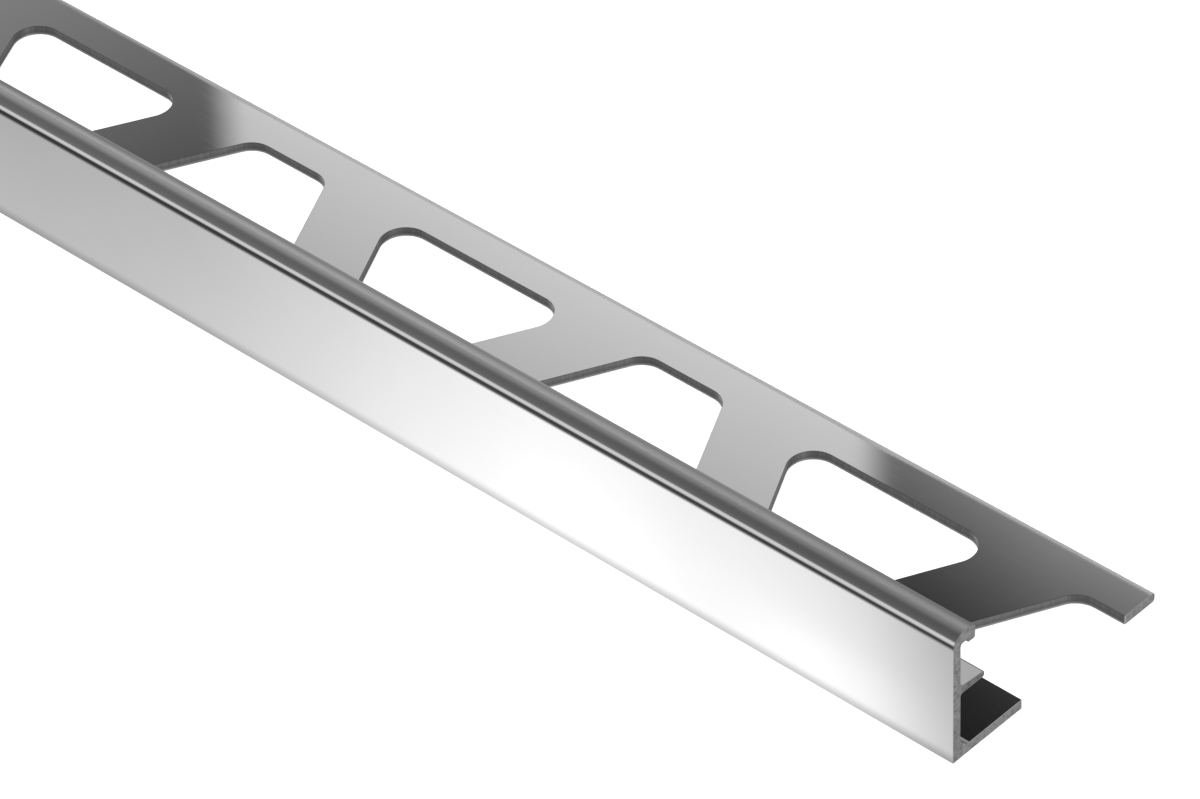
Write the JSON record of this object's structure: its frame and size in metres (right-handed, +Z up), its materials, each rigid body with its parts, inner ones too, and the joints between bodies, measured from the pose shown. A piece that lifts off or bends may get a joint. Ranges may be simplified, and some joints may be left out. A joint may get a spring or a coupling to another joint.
{
  "type": "tile edge trim",
  "caption": "Polished metal tile edge trim: upright face with a crowned head, a spacer rib behind it and an anchoring leg with rounded trapezoid perforations.",
  "frame": {"origin": "on the underside of the anchoring leg, at the middle of the length and of the leg's width", "axes": "+X along the length towards the end that cuts through a perforation, -Y out of the visible face, +Z up"},
  "size_m": [1, 0.0248, 0.0125],
  "materials": {
    "polished_aluminium": "mirror-polished and bright anodised, with plain sawn ends"
  },
  "bodies": {
    "root": {"edge_trim": "polished_aluminium"}
  },
  "joints": []
}
